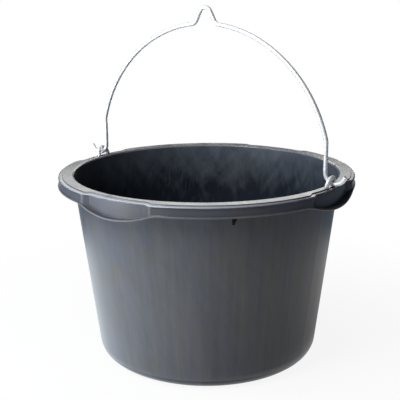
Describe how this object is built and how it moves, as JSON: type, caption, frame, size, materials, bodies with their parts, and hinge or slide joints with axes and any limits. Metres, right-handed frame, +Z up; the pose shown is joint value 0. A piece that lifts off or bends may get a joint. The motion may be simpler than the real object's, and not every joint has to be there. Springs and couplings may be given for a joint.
{
  "type": "cement tub",
  "caption": "Round tapered plastic cement tub with a stepped, skirted rim broken by niches and a swinging wire bail, hooked into steel eyes, with a raised seat for a hoist hook.",
  "frame": {"origin": "centre of the base, on the ground the tub stands on", "axes": "+Z up along the tub's axis, +X along the bail's pivot towards one eye"},
  "size_m": [0.6144, 0.588, 0.694],
  "materials": {
    "tub_plastic": "satin, lightly scuffed",
    "zinc_wire": "galvanised",
    "plated_steel": "zinc plated"
  },
  "bodies": {
    "tub": {"tub": "tub_plastic", "eye_right": "zinc_wire", "eye_left": "zinc_wire", "backing_plate_right": "plated_steel", "backing_plate_left": "plated_steel", "eye_nuts": "plated_steel"},
    "bail": {"bail": "zinc_wire"}
  },
  "joints": [
    {"name": "bail_swing", "type": "hinge", "parent": "tub", "child": "bail", "pos_m": [0, 0, 0.38], "axis": [1, 0, 0], "range_deg": [-90, 90]}
  ]
}
